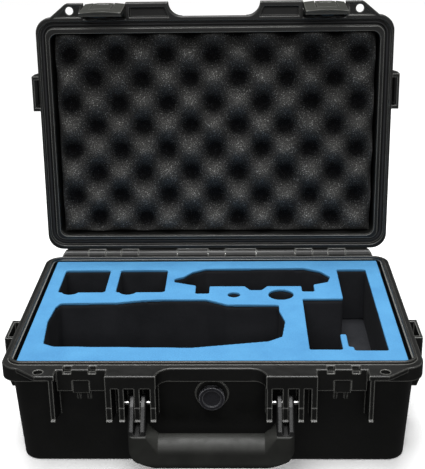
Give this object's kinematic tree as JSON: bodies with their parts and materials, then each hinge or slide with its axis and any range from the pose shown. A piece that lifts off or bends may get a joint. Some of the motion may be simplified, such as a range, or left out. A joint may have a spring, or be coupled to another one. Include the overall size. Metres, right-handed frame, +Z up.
{
  "type": "drone carrying case",
  "caption": "Hard plastic carrying case for a folding drone, lid open, with cut foam, egg-crate lid foam, press-release latches and a folding handle.",
  "frame": {"origin": "centre of the flat bottom the case stands on, midway across its rim", "axes": "+X to the right seen from the front, +Y to the hinge side, +Z up"},
  "size_m": [0.377, 0.3498, 0.3662],
  "materials": {
    "shell": "fine textured black polypropylene",
    "handle": "satin black nylon",
    "grip": "soft overmoulded black rubber",
    "latch": "textured black",
    "valve": "satin black",
    "membrane": "breathable membrane",
    "seal": "extruded rubber",
    "foam_dark": "closed cell foam",
    "foam_blue": "closed cell foam, blue",
    "foam_lid": "open cell convoluted foam",
    "steel": "polished stainless steel"
  },
  "bodies": {
    "base": {"base_shell": "shell", "hinge_rod": "steel", "valve_body": "shell", "valve_membrane": "membrane", "valve_oring": "seal", "valve_nut": "shell", "foam_floor_pad": "foam_dark", "foam_base_layer": "foam_dark", "foam_cut_front_left": "foam_dark", "foam_cut_front_middle": "foam_dark", "foam_cut_front_right": "foam_dark", "foam_cut_back_left": "foam_dark", "foam_cut_back_middle": "foam_dark", "foam_cut_back_right": "foam_dark", "foam_blue_skin": "foam_blue", "handle_pin_left": "steel", "handle_pin_right": "steel"},
    "lid": {"lid_shell": "shell", "lid_seal": "seal", "lid_foam": "foam_lid", "latch_pin_left": "steel", "latch_pin_right": "steel"},
    "handle": {"handle_frame": "handle", "handle_grip": "grip"},
    "valve_cap": {"valve_knob": "valve"},
    "latch_left": {"latch_body_left": "latch", "trigger_pin_left": "steel", "trigger_spring_left": "steel"},
    "trigger_left": {"latch_trigger_left": "latch"},
    "latch_right": {"latch_body_right": "latch", "trigger_pin_right": "steel", "trigger_spring_right": "steel"},
    "trigger_right": {"latch_trigger_right": "latch"}
  },
  "joints": [
    {"name": "lid_hinge", "type": "hinge", "parent": "base", "child": "lid", "pos_m": [0, 0.1282, 0.1014], "axis": [1, 0, 0], "range_deg": [0, 94]},
    {"name": "handle_swing", "type": "hinge", "parent": "base", "child": "handle", "pos_m": [0, -0.13, 0.073], "axis": [-1, 0, 0], "range_deg": [0, 90]},
    {"name": "valve_turn", "type": "hinge", "parent": "base", "child": "valve_cap", "pos_m": [0, -0.117, 0.0703], "axis": [0, -1, 0], "range_deg": [0, 270]},
    {"name": "latch_left_swing", "type": "hinge", "parent": "lid", "child": "latch_left", "pos_m": [-0.1104, 0.15465, 0.35638], "axis": [-1, 0, 0], "range_deg": [-3.5, 85]},
    {"name": "trigger_left_press", "type": "hinge", "parent": "latch_left", "child": "trigger_left", "pos_m": [-0.1115, 0.139, 0.36005], "axis": [-1, 0, 0], "range_deg": [0, 5], "stiffness_Nm_per_rad": 0.3, "springref_deg": -8.59},
    {"name": "latch_right_swing", "type": "hinge", "parent": "lid", "child": "latch_right", "pos_m": [0.1104, 0.15465, 0.35638], "axis": [-1, 0, 0], "range_deg": [-3.5, 85]},
    {"name": "trigger_right_press", "type": "hinge", "parent": "latch_right", "child": "trigger_right", "pos_m": [0.1115, 0.139, 0.36005], "axis": [-1, 0, 0], "range_deg": [0, 5], "stiffness_Nm_per_rad": 0.3, "springref_deg": -8.59}
  ]
}
